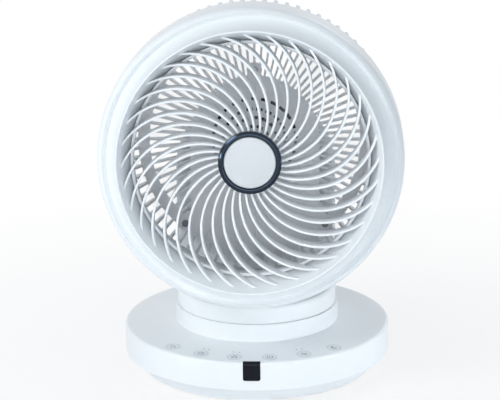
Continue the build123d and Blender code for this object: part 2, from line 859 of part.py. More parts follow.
# Motor housing: a barrel across the fork with a flat flange in front.
with BuildPart() as motor_housing:
    with BuildSketch(head_side):
        Circle(barrel_radius)
        with Locations((0, plate_back - barrel_radius)):
            Rectangle(2 * barrel_radius, 2 * barrel_radius, mode=Mode.INTERSECT)
    extrude(amount=barrel_half_length, both=True)
    with BuildSketch(head_face.offset(rear_back)):
        add(keyhole(-flange_inset))
    extrude(amount=plate_back - rear_back)
    add(head_disc(motor_plate_radius + fit_gap, motor_plate_back, plate_back), mode=Mode.SUBTRACT)
    add(head_disc(motor_radius + motor_room, motor_back - motor_room, plate_back), mode=Mode.SUBTRACT)
    with BuildSketch(head_face.offset(plate_back)):
        with Locations(*screw_spots):
            Circle(screw_radius + press_gap)
    extrude(amount=plate_thickness - head_screw_length - face_gap, mode=Mode.SUBTRACT)
    for side in (1, -1):
        with BuildSketch(Plane.YZ.offset(side * (barrel_half_length - pin_seat))):
            with Locations((pivot_back, pivot_height)):
                Circle(pin_radius + press_gap)
        extrude(amount=side * pin_seat, mode=Mode.SUBTRACT)
motor_housing.part.label = "motor_housing"
export_step(motor_housing.part, "parts/motor_housing.step")

# Motor plate: the dark steel disc that carries the motor.
with BuildPart() as motor_plate:
    add(head_disc(motor_plate_radius, motor_plate_back, plate_back, bearing_tube_radius + fit_gap))
motor_plate.part.label = "motor_plate"
export_step(motor_plate.part, "parts/motor_plate.step")

# Fan motor: a round body with a long bearing tube for the shaft.
with BuildPart() as fan_motor:
    add(head_disc(motor_radius, motor_back, motor_plate_back))
    add(head_disc(bearing_tube_radius, motor_plate_back, bearing_tube_ahead))
    add(
        head_disc(shaft_radius + slide_gap, shaft_back - face_gap, bearing_tube_ahead),
        mode=Mode.SUBTRACT,
    )
fan_motor.part.label = "fan_motor"
export_step(fan_motor.part, "parts/fan_motor.step")

# =====================================================================
# Impeller
# =====================================================================
with BuildPart() as fan_shaft:
    add(head_disc(shaft_radius, shaft_back, shaft_ahead))
fan_shaft.part.label = "fan_shaft"
export_step(fan_shaft.part, "parts/fan_shaft.step")


def blade_section(turn, reach, chord, pitch):
    """A blade's flat section, square to its span."""
    outward = sideways * cos(turn) + upward * sin(turn)
    across = upward * cos(turn) - sideways * sin(turn)
    middle = pivot + forward * ((impeller_back + impeller_ahead) / 2)
    with BuildSketch(Plane(origin=middle + outward * reach, x_dir=across, z_dir=outward)) as section:
        Rectangle(chord, blade_thickness, rotation=pitch)
    return section.sketch


# Impeller: seven twisted blades on a small hub.
with BuildPart() as impeller:
    for k in range(blade_count):
        blade_turn = 2 * pi * k / blade_count
        root = blade_section(blade_turn, blade_root_radius, blade_root_chord, blade_root_pitch)
        tip = blade_section(blade_turn, blade_tip_radius, blade_tip_chord, blade_tip_pitch)
        loft([root, tip], ruled=True)
    add(head_disc(blade_tip_radius, impeller_back, impeller_ahead), mode=Mode.INTERSECT)
    add(head_disc(impeller_hub_radius, impeller_back, impeller_ahead))
    add(head_disc(shaft_radius + press_gap, impeller_back, impeller_ahead), mode=Mode.SUBTRACT)
impeller.part.label = "impeller"
export_step(impeller.part, "parts/impeller.step")

# Blade nut: holds the impeller on its shaft.
with BuildPart() as blade_nut:
    with BuildSketch(head_face.offset(impeller_ahead)):
        RegularPolygon(nut_radius, 6)
    extrude(amount=nut_height)
    add(head_disc(shaft_radius + press_gap, impeller_ahead, shaft_ahead + face_gap), mode=Mode.SUBTRACT)
blade_nut.part.label = "blade_nut"
export_step(blade_nut.part, "parts/blade_nut.step")

# =====================================================================
# Head: rear shell
# =====================================================================

# Rear shell: eighty deep slats on rings, round a closed keyhole plate.
with BuildPart() as rear_shell:
    with BuildSketch(head_section) as slat_section:
        with BuildLine():
            Polyline(
                (plate_radius - plate_thickness, rear_back),
                (rear_radius, rear_back),
                (rear_radius, rear_rim_back + face_gap),
                (rear_inner, rear_rim_back + face_gap),
                (rear_inner, rear_front + rear_bevel),
                (rear_inner - rear_bevel, rear_front),
                (plate_radius - plate_thickness, rear_front),
                close=True,
            )
        make_face()
        fillet(slat_section.vertices().sort_by_distance((rear_radius, rear_back))[0], rear_corner)
    revolve(axis=head_axis)
    slat_start = plate_radius - 2 * plate_thickness
    slat_length = rear_rim_radius - slat_start
    with BuildSketch(head_face.offset(rear_back - face_gap)):
        with PolarLocations(slat_start + slat_length / 2, slat_count):
            Rectangle(slat_length, slat_width)
    extrude(amount=rear_rim_ahead - rear_back, mode=Mode.INTERSECT)
    # Seat for the motor housing's flange.
    with BuildSketch(head_face.offset(rear_back - face_gap)):
        add(keyhole(0))
    extrude(amount=plate_back - rear_back + face_gap, mode=Mode.SUBTRACT)
    # Rim that plugs into the front shell, thin ring and flat band.
    add(head_disc(rear_rim_radius, rear_rim_back, rear_rim_ahead, rear_rim_radius - rear_rim_wall))
    add(
        head_disc(
            rear_inner + mid_ring_width / 2,
            mid_ring_ahead,
            mid_ring_ahead + mid_ring_width,
            rear_inner - mid_ring_width / 2,
        )
    )
    add(head_disc(band_outer, plate_back, rear_front, band_inner))
    # Closed plate with its rings of vents and screw holes.
    with BuildSketch(head_face.offset(plate_back)):
        add(keyhole(0))
        for vent_circle, vent_count in vent_rings:
            with PolarLocations(vent_circle, vent_count, 180 / vent_count):
                Rectangle(vent_width, vent_length, mode=Mode.SUBTRACT)
        Circle(bearing_tube_radius + fit_gap, mode=Mode.SUBTRACT)
    extrude(amount=plate_thickness)
    with BuildSketch(head_face.offset(plate_back)):
        with Locations(*screw_spots):
            Circle(screw_radius + fit_gap)
    extrude(amount=plate_thickness, mode=Mode.SUBTRACT)
rear_shell.part.label = "rear_shell"
export_step(rear_shell.part, "parts/rear_shell.step")

# Head screws: three dark screws that hold the plate to the housing.
with BuildPart() as head_screws:
    add(pan_screws(head_face.offset(rear_front), screw_spots, head_screw_length))
head_screws.part.label = "head_screws"
export_step(head_screws.part, "parts/head_screws.step")

# =====================================================================
# Head: front shell and grille
# =====================================================================

# Front shell: a deep hollow ring with a rim, a groove and a funnel lip.
shell_inside = shell_radius - shell_wall

with BuildPart() as front_shell:
    with BuildSketch(head_section):
        with BuildLine():
            Line((shell_radius, shell_rear), (shell_radius, shell_shoulder))
            ThreePointArc(
                (shell_radius, shell_shoulder),
                (rim_bulge, rim_bulge_ahead),
                (rim_radius, rim_ahead),
            )
            SagittaArc((rim_radius, rim_ahead), (groove_radius, groove_ahead), groove_bow)
            ThreePointArc(
                (groove_radius, groove_ahead),
                (slope_radius, slope_ahead),
                (lip_radius + lip_half, lip_side),
            )
            ThreePointArc(
                (lip_radius + lip_half, lip_side),
                (lip_radius, lip_ahead),
                (lip_inner, lip_side),
            )
            Polyline(
                (lip_inner, lip_side),
                (funnel_radius, funnel_ahead),
                (funnel_radius, duct_rear),
                (funnel_radius + shell_wall, duct_rear),
                (funnel_radius + shell_wall, funnel_ahead),
                (lip_inner, lip_ahead - lip_root),
                (slope_radius - shell_wall, slope_ahead - shell_wall / 2),
                (groove_radius - shell_wall / 2, groove_ahead - shell_wall),
                (groove_radius + shell_wall, groove_ahead - shell_wall),
                (rim_radius, rim_bulge_ahead),
                (shell_inside, shell_shoulder),
                (shell_inside, shell_rear),
                (shell_radius, shell_rear),
            )
        make_face()
    revolve(axis=head_axis)
front_shell.part.label = "front_shell"
export_step(front_shell.part, "parts/front_shell.step")


def rib_angle(radius):
    """Turn along the rib's arc at which it crosses a radius of the head."""
    cosine = (radius**2 - rib_curve_offset**2 - rib_curve**2) / (2 * rib_curve_offset * rib_curve)
    return degrees(acos(cosine))


# Front grille: thirty-six swept ribs from the hub cup over a thin rim to the funnel's cone.
with BuildPart() as front_grille:
    rib_middle = Vector(rib_curve_offset, 0).rotate(Axis.Z, rib_turn)
    rib_from = rib_turn - rib_angle(rib_start_radius)
    rib_to = rib_turn - rib_angle(lip_radius)
    with BuildSketch(mode=Mode.PRIVATE) as rib:
        with BuildLine() as rib_line:
            CenterArc(rib_middle, rib_curve, rib_from, rib_to - rib_from)
        trace(rib_line.line, rib_width)
    rim_outer = funnel_radius - slide_gap
    rib_tip = rim_outer + funnel_slope * (rib_front_rim - funnel_ahead)
    with BuildSketch(head_section):
        with BuildLine():
            Polyline(
                (rib_start_radius - rib_width, rib_front_hub),
                (hub_ring_radius + fit_gap, rib_front_hub),
                (rib_tip, rib_front_rim),
                (rim_outer, funnel_ahead),
                (rib_start_radius - rib_width, rib_front_hub - rib_depth),
                close=True,
            )
        make_face()
    revolve(axis=head_axis)
    with BuildSketch(head_face.offset(duct_rear)):
        with PolarLocations(0, rib_count):
            add(rib.sketch)
    extrude(amount=lip_ahead - duct_rear, mode=Mode.INTERSECT)
    add(
        head_disc(
            rim_outer,
            grille_rim_ahead - grille_rim_length,
            grille_rim_ahead,
            rim_outer - grille_rim,
        )
    )
    add(head_disc(hub_cup_radius, rib_front_hub - hub_cup_depth, rib_front_hub))
front_grille.part.label = "front_grille"
export_step(front_grille.part, "parts/front_grille.step")

# Hub ring: the polished dark ring round the centre disc.
with BuildPart() as hub_ring:
    add(head_disc(hub_ring_radius, rib_front_hub, rib_front_hub + hub_ring_height, hub_disc_radius + fit_gap))
    ring_front = hub_ring.edges().filter_by(GeomType.CIRCLE).sort_by(head_axis)[-2:]
    chamfer(ring_front, hub_ring_height / 4)
hub_ring.part.label = "hub_ring"
export_step(hub_ring.part, "parts/hub_ring.step")

# Hub cap: the plain centre disc.
with BuildPart() as hub_cap:
    add(head_disc(hub_disc_radius, rib_front_hub, rib_front_hub + hub_disc_height))
    cap_front = hub_cap.edges().filter_by(GeomType.CIRCLE).sort_by(head_axis)[-1]
    fillet(cap_front, hub_disc_height / 4)
hub_cap.part.label = "hub_cap"
export_step(hub_cap.part, "parts/hub_cap.step")
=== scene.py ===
import json
import math

import bmesh
import bpy
from mathutils import Matrix, Vector


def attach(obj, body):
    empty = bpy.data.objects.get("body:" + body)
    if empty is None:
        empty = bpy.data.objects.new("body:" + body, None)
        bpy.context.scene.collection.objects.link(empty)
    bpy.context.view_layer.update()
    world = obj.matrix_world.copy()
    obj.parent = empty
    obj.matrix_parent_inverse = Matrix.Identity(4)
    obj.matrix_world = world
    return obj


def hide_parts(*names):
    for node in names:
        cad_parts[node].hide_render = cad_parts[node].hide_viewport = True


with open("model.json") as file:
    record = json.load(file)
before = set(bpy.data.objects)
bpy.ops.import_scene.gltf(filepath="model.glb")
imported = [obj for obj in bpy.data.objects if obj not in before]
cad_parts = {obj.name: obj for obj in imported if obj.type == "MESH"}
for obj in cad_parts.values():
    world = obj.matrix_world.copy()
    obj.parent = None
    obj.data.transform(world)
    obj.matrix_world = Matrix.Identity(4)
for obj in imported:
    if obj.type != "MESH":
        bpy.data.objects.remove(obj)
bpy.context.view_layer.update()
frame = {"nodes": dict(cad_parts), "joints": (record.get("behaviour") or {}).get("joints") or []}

# ---------------------------------------------------------------------
# Camera and studio. The fan stands on a pale table that runs out to
# white, and is seen from a little above and from slightly right of its
# front through a long lens, so the base and the head keep their shape.
# ---------------------------------------------------------------------
eye = Vector((0.0810, -1.9154, 0.7059))
eye_azimuth = math.radians(2.56)
eye_elevation = math.radians(16.55)
eye_roll = math.radians(-0.57)

look = Vector((
    -math.sin(eye_azimuth) * math.cos(eye_elevation),
    math.cos(eye_azimuth) * math.cos(eye_elevation),
    -math.sin(eye_elevation),
))
level_right = Vector((math.cos(eye_azimuth), math.sin(eye_azimuth), 0.0))
level_up = level_right.cross(look)
camera_right = level_right * math.cos(eye_roll) + level_up * math.sin(eye_roll)
camera_up = level_up * math.cos(eye_roll) - level_right * math.sin(eye_roll)

camera_data = bpy.data.cameras.new("camera")
camera_data.lens = 180.6
camera_data.sensor_width = 36.0
camera_data.clip_start = 0.05
camera_data.clip_end = 60.0
camera = bpy.data.objects.new("camera", camera_data)
facing = Matrix((camera_right, camera_up, -look)).transposed()
camera.matrix_world = Matrix.Translation(eye) @ facing.to_4x4()
bpy.context.scene.collection.objects.link(camera)
bpy.context.scene.camera = camera
bpy.context.scene.view_settings.view_transform = "Standard"


def lamp(name, place, aim, size, watts, colour=(1.0, 1.0, 1.0), spread=180.0):
    """A soft square lamp that faces a point."""
    data = bpy.data.lights.new(name, "AREA")
    data.shape = "SQUARE"
    data.size = size
    data.energy = watts
    data.color = colour
    data.spread = math.radians(spread)
    lamp_object = bpy.data.objects.new(name, data)
    direction = Vector(aim) - Vector(place)
    turn = direction.to_track_quat("-Z", "Y").to_matrix().to_4x4()
    lamp_object.matrix_world = Matrix.Translation(Vector(place)) @ turn
    bpy.context.scene.collection.objects.link(lamp_object)


daylight = (0.97, 0.98, 1.0)
lamp("key_lamp", place=(-1.3, -1.2, 1.4), aim=(0, 0, 0.18), size=0.7, watts=12.0)
lamp("glint_lamp", place=(-1.73, -1.14, 0.27), aim=(0, -0.1, 0.19), size=0.22, watts=5.0)
lamp("fill_lamp", place=(0.1, -2.1, 0.40), aim=(0, 0, 0.08), size=0.9, watts=9.0,
     colour=(0.98, 0.99, 1.0))
lamp("side_lamp", place=(0.95, -0.50, 0.03), aim=(0.02, 0, 0.02), size=0.10, watts=0.07,
     colour=daylight, spread=24.0)
lamp("back_lamp", place=(0.8, 1.8, 1.1), aim=(0, 0, 0.2), size=0.8, watts=5.0, colour=daylight)


def seen_directly(tree):
    """One for camera, glossy and transmission rays, nought for the rest."""
    path = tree.nodes.new("ShaderNodeLightPath")
    first = tree.nodes.new("ShaderNodeMath")
    first.operation = "MAXIMUM"
    second = tree.nodes.new("ShaderNodeMath")
    second.operation = "MAXIMUM"
    tree.links.new(path.outputs["Is Camera Ray"], first.inputs[0])
    tree.links.new(path.outputs["Is Glossy Ray"], first.inputs[1])
    tree.links.new(first.outputs[0], second.inputs[0])
    tree.links.new(path.outputs["Is Transmission Ray"], second.inputs[1])
    return second.outputs[0]


# The room lights the fan with a cool grey and is itself seen as white.
world = bpy.data.worlds.new("studio")
bpy.context.scene.world = world
world.use_nodes = True
sky = world.node_tree
sky.nodes.clear()
room = sky.nodes.new("ShaderNodeBackground")
room.inputs["Color"].default_value = (0.80, 0.885, 0.96, 1.0)
room.inputs["Strength"].default_value = 0.55
backdrop = sky.nodes.new("ShaderNodeBackground")
backdrop.inputs["Color"].default_value = (1.0, 1.0, 1.0, 1.0)
backdrop.inputs["Strength"].default_value = 1.0
sky_mix = sky.nodes.new("ShaderNodeMixShader")
sky_out = sky.nodes.new("ShaderNodeOutputWorld")
sky.links.new(seen_directly(sky), sky_mix.inputs[0])
sky.links.new(room.outputs[0], sky_mix.inputs[1])
sky.links.new(backdrop.outputs[0], sky_mix.inputs[2])
sky.links.new(sky_mix.outputs[0], sky_out.inputs[0])

# The table top is matt under the fan and fades outwards into plain white.
floor_mesh = bpy.data.meshes.new("table_top")
floor_form = bmesh.new()
bmesh.ops.create_grid(floor_form, x_segments=2, y_segments=2, size=12.0)
floor_form.to_mesh(floor_mesh)
floor_form.free()
table_top = bpy.data.objects.new("table_top", floor_mesh)
bpy.context.scene.collection.objects.link(table_top)
floor_material = bpy.data.materials.new("pale_table")
floor_material.use_nodes = True
floor_tree = floor_material.node_tree
floor_tree.nodes.clear()
floor_matt = floor_tree.nodes.new("ShaderNodeBsdfDiffuse")
floor_matt.inputs["Color"].default_value = (0.95, 0.96, 0.97, 1.0)
floor_glow = floor_tree.nodes.new("ShaderNodeEmission")
floor_glow.inputs["Color"].default_value = (1.0, 1.0, 1.0, 1.0)
floor_glow.inputs["Strength"].default_value = 1.0
floor_place = floor_tree.nodes.new("ShaderNodeTexCoord")
floor_reach = floor_tree.nodes.new("ShaderNodeVectorMath")
floor_reach.operation = "LENGTH"
floor_fade = floor_tree.nodes.new("ShaderNodeMapRange")
floor_fade.inputs["From Min"].default_value = 0.12
floor_fade.inputs["From Max"].default_value = 0.50
floor_fade.inputs["To Min"].default_value = 0.76
floor_fade.inputs["To Max"].default_value = 1.0
floor_share = floor_tree.nodes.new("ShaderNodeMath")
floor_share.operation = "MULTIPLY"
floor_mix = floor_tree.nodes.new("ShaderNodeMixShader")
floor_out = floor_tree.nodes.new("ShaderNodeOutputMaterial")
floor_tree.links.new(floor_place.outputs["Object"], floor_reach.inputs[0])
floor_tree.links.new(floor_reach.outputs["Value"], floor_fade.inputs["Value"])
floor_tree.links.new(seen_directly(floor_tree), floor_share.inputs[0])
floor_tree.links.new(floor_fade.outputs["Result"], floor_share.inputs[1])
floor_tree.links.new(floor_share.outputs[0], floor_mix.inputs[0])
floor_tree.links.new(floor_matt.outputs[0], floor_mix.inputs[1])
floor_tree.links.new(floor_glow.outputs[0], floor_mix.inputs[2])
floor_tree.links.new(floor_mix.outputs[0], floor_out.inputs[0])
floor_mesh.materials.append(floor_material)

# ---------------------------------------------------------------------
# Base shell: one white ABS moulding with an upright wall, a gently
# sloping top for the touch keys and a fixed collar that hides the bush
# in which the neck turns.
# ---------------------------------------------------------------------
mm = 0.001
weld = 2e-6
sharp_above = math.radians(35.0)


def plastic(name, colour, rough, grain=0.03, tint=0.04):
    """Moulded plastic: a faint mottle, a fine skin and uneven gloss."""
    material = bpy.data.materials.new(name)
    material.use_nodes = True
    tree = material.node_tree
    shader = tree.nodes["Principled BSDF"]
    place = tree.nodes.new("ShaderNodeTexCoord")
    broad = tree.nodes.new("ShaderNodeTexNoise")
    broad.inputs["Scale"].default_value = 14.0
    broad.inputs["Detail"].default_value = 3.0
    fine = tree.nodes.new("ShaderNodeTexNoise")
    fine.inputs["Scale"].default_value = 2200.0
    fine.inputs["Detail"].default_value = 2.0
    mottle = tree.nodes.new("ShaderNodeValToRGB")
    dark_stop, light_stop = mottle.color_ramp.elements
    dark_stop.position = 0.3
    dark_stop.color = tuple(part * (1 - tint) for part in colour) + (1.0,)
    light_stop.position = 0.7
    light_stop.color = tuple(colour) + (1.0,)
    gloss = tree.nodes.new("ShaderNodeMapRange")
    gloss.inputs["To Min"].default_value = rough - 0.03
    gloss.inputs["To Max"].default_value = rough + 0.05
    skin = tree.nodes.new("ShaderNodeBump")
    skin.inputs["Strength"].default_value = grain
    skin.inputs["Distance"].default_value = 0.0001
    tree.links.new(place.outputs["Object"], broad.inputs["Vector"])
    tree.links.new(place.outputs["Object"], fine.inputs["Vector"])
    tree.links.new(broad.outputs["Fac"], mottle.inputs["Fac"])
    tree.links.new(broad.outputs["Fac"], gloss.inputs["Value"])
    tree.links.new(fine.outputs["Fac"], skin.inputs["Height"])
    tree.links.new(mottle.outputs["Color"], shader.inputs["Base Color"])
    tree.links.new(gloss.outputs["Result"], shader.inputs["Roughness"])
    tree.links.new(skin.outputs["Normal"], shader.inputs["Normal"])
    return material


def keep(form, name, material, place=None):
    """Makes a form a named piece. With a place, it was drawn there in mm."""
    if place is not None:
        bmesh.ops.transform(form, matrix=place @ Matrix.Scale(mm, 4), verts=form.verts)
    bmesh.ops.remove_doubles(form, verts=form.verts, dist=weld)
    for face in form.faces:
        face.smooth = True
    mesh = bpy.data.meshes.new(name)
    form.to_mesh(mesh)
    form.free()
    if "custom_normal" in mesh.attributes:
        mesh.attributes.remove(mesh.attributes["custom_normal"])
    mesh.set_sharp_from_angle(angle=sharp_above)
    mesh.materials.append(material)
    piece = bpy.data.objects.new(name, mesh)
    bpy.context.scene.collection.objects.link(piece)
    return piece


def take_over(node, name, material, body):
    """A piece that stands for a CAD node, with its loose triangles joined."""
    form = bmesh.new()
    form.from_mesh(frame["nodes"][node].data)
    bmesh.ops.remove_doubles(form, verts=form.verts, dist=weld)
    piece = keep(form, name, material)
    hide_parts(node)
    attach(piece, body)
    return piece


casing_white = plastic("casing_white", (0.885, 0.92, 0.94), rough=0.32)
take_over("base_shell", "base_casing", casing_white, "base")

# ---------------------------------------------------------------------
# Underside: a shallow white foot moulding that flares up into the drum.
# Five rubber buttons are pressed into it, and four steel screws hold it
# to posts of the casing.
# ---------------------------------------------------------------------
def metal(name, colour, rough):
    """Bare or plated metal: fine brushing in the gloss and a faint tone."""
    material = plastic(name, colour, rough, grain=0.02, tint=0.12)
    material.node_tree.nodes["Principled BSDF"].inputs["Metallic"].default_value = 1.0
    return material


def dress(node, material):
    """Gives a CAD node the material that it is seen in."""
    mesh = frame["nodes"][node].data
    mesh.materials.clear()
    mesh.materials.append(material)


foot_rubber = plastic("foot_rubber", (0.045, 0.047, 0.05), rough=0.75, grain=0.35, tint=0.2)
screw_steel = metal("screw_steel", (0.50, 0.51, 0.52), rough=0.30)
take_over("bottom_cover", "foot_moulding", casing_white, "base")
take_over("rubber_feet", "rubber_buttons", foot_rubber, "base")
dress("cover_screws", screw_steel)

# ---------------------------------------------------------------------
# Display and touch keys: a dark acrylic lens bent over the drum's edge,
# and six thin film keys let into the sloping top, both glued in.
# ---------------------------------------------------------------------
window_black = plastic("window_black", (0.006, 0.008, 0.016), rough=0.14, grain=0.0, tint=0.3)
window_shader = window_black.node_tree.nodes["Principled BSDF"]
window_shader.inputs["Specular IOR Level"].default_value = 0.15
key_white = plastic("key_white", (0.80, 0.84, 0.87), rough=0.42)
take_over("display_window", "display_lens", window_black, "base")
take_over("touch_pads", "touch_keys", key_white, "base")

# ---------------------------------------------------------------------
# Key printing: a fine line of grey ink round each key, a small plain
# symbol in it and a pair of indicator dashes behind three of the keys.
# ---------------------------------------------------------------------
line_grey = plastic("line_grey", (0.42, 0.47, 0.52), rough=0.5)
symbol_grey = plastic("symbol_grey", (0.10, 0.12, 0.145), rough=0.5)
base_radius, collar_radius = 106.0, 65.2
drum_top, crown_rise = 37.0, 2.4
pad_circle, pad_proud = 95.5, 0.12
pad_step, pad_count = 16.5, 6
front_azimuth = -90.0
crown_slope = math.atan(crown_rise / (base_radius - collar_radius))
crown_middle = drum_top + crown_rise * (base_radius - pad_circle) / (base_radius - collar_radius)
print_height = 0.04
outline_radius, outline_width = 5.55, 0.28
thin_line, bold_line = 0.45, 0.5
symbol_radius, wave_radius = 2.2, 1.2
blade_radius, blade_line = 1.15, 0.6
short_bar = 1.3
degrees_a_step = 12
indicator_length, indicator_aside, indicator_behind = 1.7, 2.3, 9.4
stand_frame = Matrix.Identity(4)


def stroke(form, radius, width, start=0, sweep=360, middle=(0, 0)):
    """A flat printed arc: its small section is spun round its middle."""
    seed = bmesh.ops.create_grid(form, x_segments=1, y_segments=1, size=0.5)["verts"]
    faces = list({face for corner in seed for face in corner.link_faces})
    lie = (
        Matrix.Translation((middle[0], middle[1], 0))
        @ Matrix.Rotation(math.radians(start), 4, "Z")
        @ Matrix.Translation((radius, 0, 0))
        @ Matrix.Rotation(math.pi / 2, 4, "X")
        @ Matrix.Diagonal((width, print_height, 1, 1))
    )
    bmesh.ops.transform(form, matrix=lie, verts=seed)
    edges = list({edge for corner in seed for edge in corner.link_edges})
    closed = sweep == 360
    if closed:
        bmesh.ops.delete(form, geom=faces, context="FACES_ONLY")
        faces = []
    bmesh.ops.spin(
        form, geom=faces + edges + seed, cent=(middle[0], middle[1], 0), axis=(0, 0, 1),
        dvec=(0, 0, 0), angle=math.radians(sweep), steps=max(4, round(sweep / degrees_a_step)),
        use_merge=closed, use_duplicate=False,
    )


def bar(form, middle, across, up, turn=0):
    """A flat printed bar, so far across and so far up before its turn."""
    lie = (
        Matrix.Translation((middle[0], middle[1], 0))
        @ Matrix.Rotation(math.radians(turn), 4, "Z")
        @ Matrix.Diagonal((across, up, print_height, 1))
    )
    bmesh.ops.create_cube(form, size=1, matrix=lie)


def key_outline(form):
    """The fine line round a key."""
    stroke(form, outline_radius, outline_width)


def swing_symbol(form):
    """A bow with bent ends over a dot."""
    stroke(form, 2.6, thin_line, start=35, sweep=110, middle=(0, -1.2))
    bar(form, (-2.2, 0.1), across=short_bar, up=thin_line, turn=80)
    bar(form, (2.2, 0.1), across=short_bar, up=thin_line, turn=-80)
    bar(form, (0, -1.4), across=1.0, up=1.0, turn=45)


def timer_symbol(form):
    """A clock face with two hands."""
    stroke(form, symbol_radius, thin_line)
    bar(form, (0, 0.7), across=thin_line, up=1.5)
    bar(form, (0.6, 0), across=short_bar, up=thin_line)


def speed_symbol(form):
    """Three curled blades."""
    for third in range(3):
        lean = 120 * third
        bend = math.radians(90 + lean)
        middle = (blade_radius * math.cos(bend), blade_radius * math.sin(bend))
        stroke(form, blade_radius, blade_line, start=30 + lean, sweep=200, middle=middle)


def power_symbol(form):
    """A ring that is open at the top, with a bar through the gap."""
    stroke(form, symbol_radius, bold_line, start=125, sweep=290)
    bar(form, (0, 1.6), across=bold_line, up=2.0)


def breeze_symbol(form):
    """Two waves."""
    for row in (-0.9, 0.9):
        stroke(form, wave_radius, thin_line, start=20, sweep=140, middle=(-1.2, row - 0.6))
        stroke(form, wave_radius, thin_line, start=200, sweep=140, middle=(1.1, row + 0.2))


def night_symbol(form):
    """A crescent."""
    stroke(form, symbol_radius, bold_line, start=60, sweep=240)
    stroke(form, 1.9, thin_line, start=95, sweep=170, middle=(0.9, 0.5))


def indicator_dashes(form):
    """The pair of dashes behind a key."""
    for side in (-indicator_aside, indicator_aside):
        bar(form, (side, indicator_behind), across=indicator_length, up=bold_line)


def pour(form, whole):
    """Moves a finished form into a larger one."""
    carrier = bpy.data.meshes.new("carrier")
    form.to_mesh(carrier)
    form.free()
    whole.from_mesh(carrier)
    bpy.data.meshes.remove(carrier)


def print_on(whole, drawings, place):
    """Draws a key's printing flat and lays it on the sloping key."""
    form = bmesh.new()
    for drawing in drawings:
        drawing(form)
    bmesh.ops.recalc_face_normals(form, faces=form.faces)
    bmesh.ops.transform(form, matrix=place, verts=form.verts)
    pour(form, whole)


line_form = bmesh.new()
symbol_form = bmesh.new()
first_azimuth = front_azimuth - pad_step * (pad_count - 1) / 2
for key, drawings in enumerate([
    [swing_symbol],
    [timer_symbol, indicator_dashes],
    [speed_symbol, indicator_dashes],
    [power_symbol],
    [breeze_symbol, indicator_dashes],
    [night_symbol],
]):
    from_front = math.radians(first_azimuth + pad_step * key) + math.pi / 2
    key_place = (
        Matrix.Rotation(from_front, 4, "Z")
        @ Matrix.Translation((0, -pad_circle, crown_middle + pad_proud + print_height / 2))
        @ Matrix.Rotation(crown_slope, 4, "X")
    )
    print_on(line_form, [key_outline], key_place)
    print_on(symbol_form, drawings, key_place)
key_lines = keep(line_form, "key_lines", line_grey, stand_frame)
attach(key_lines, "base")
key_symbols = keep(symbol_form, "key_symbols", symbol_grey, stand_frame)
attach(key_symbols, "base")

# ---------------------------------------------------------------------
# Parts inside the base: a steel ballast plate on the floor, the circuit
# board on posts under the keys, the supply socket, the bush in the
# collar, and the screwed-on gear motor that swings the neck.
# ---------------------------------------------------------------------
ballast_steel = metal("ballast_steel", (0.36, 0.36, 0.37), rough=0.50)
board_green = plastic("board_green", (0.02, 0.16, 0.06), rough=0.40, tint=0.3)
black_plastic = plastic("black_plastic", (0.020, 0.021, 0.023), rough=0.42, grain=0.10, tint=0.2)
bearing_plastic = plastic("bearing_plastic", (0.62, 0.60, 0.54), rough=0.45)
motor_steel = metal("motor_steel", (0.46, 0.47, 0.48), rough=0.38)
dress("ballast_plate", ballast_steel)
dress("control_board", board_green)
take_over("power_socket", "supply_socket", black_plastic, "base")
dress("swing_bush", bearing_plastic)
dress("swing_motor", motor_steel)
dress("swing_motor_screws", screw_steel)
dress("swing_pinion", bearing_plastic)

# ---------------------------------------------------------------------
# Neck: one white moulding, a short drum that rises into two cheeks and
# a scooped cradle for the head. Screws hold it to an acetal turntable,
# with a ring gear below and a bush for each tilt pin in the cheeks.
# ---------------------------------------------------------------------
take_over("neck_shell", "neck_casing", casing_white, "neck")
dress("turntable", bearing_plastic)
dress("neck_screws", screw_steel)
dress("ring_gear", bearing_plastic)
dress("gear_screws", screw_steel)
dress("tilt_bushes", bearing_plastic)

# ---------------------------------------------------------------------
# Slide ring: a thin pale ring glued under the neck's wall. It closes the
# gap over the collar to a fine line and keeps dust out of the bearing.
# ---------------------------------------------------------------------
slide_inner, slide_outer = 60.6, 63.0
slide_bottom, slide_top = 53.54, 54.12
seam, same_ring = 1e-4, 1e-3
edge_segments = 4


def turned(form, outline, steps):
    """Spins a closed outline of (radius, height, softening) points round z."""
    corners = [form.verts.new((point[0], 0, point[1])) for point in outline]
    edges = [form.edges.new((corners[k - 1], corners[k])) for k in range(len(corners))]
    bmesh.ops.spin(
        form, geom=corners + edges, cent=(0, 0, 0), axis=(0, 0, 1), dvec=(0, 0, 0),
        angle=2 * math.pi, steps=steps, use_merge=True, use_duplicate=False,
    )
    bmesh.ops.remove_doubles(form, verts=form.verts, dist=seam)
    bmesh.ops.recalc_face_normals(form, faces=form.faces)
    for radius, height, softening in (point for point in outline if len(point) == 3):
        ring = [edge for edge in form.edges if all(
            abs(math.hypot(corner.co.x, corner.co.y) - radius) < same_ring
            and abs(corner.co.z - height) < same_ring
            for corner in edge.verts
        )]
        bmesh.ops.bevel(
            form, geom=ring, offset=softening, segments=edge_segments, profile=0.5,
            affect="EDGES", material=-1,
        )


slide_form = bmesh.new()
turned(slide_form, [
    (slide_inner, slide_bottom),
    (slide_outer, slide_bottom),
    (slide_outer, slide_top),
    (slide_inner, slide_top),
], steps=128)
slide_ring = keep(slide_form, "slide_ring", casing_white, stand_frame)
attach(slide_ring, "neck")

# ---------------------------------------------------------------------
# Head frame: the tilt axis and the way the air goes, read from the two
# joints, give the frame in which the head's pieces are drawn. There z is
# the distance ahead of the tilt axis and y points up the head.
# ---------------------------------------------------------------------
joints = {joint["name"]: joint for joint in frame["joints"]}
tilt_place = Vector(joints["head_tilt"]["pos_m"])
ahead = Vector(joints["fan_spin"]["axis"]).normalized()
aside = Vector((1, 0, 0))
head_frame = Matrix((aside, ahead.cross(aside), ahead)).transposed().to_4x4()
head_frame.translation = tilt_place

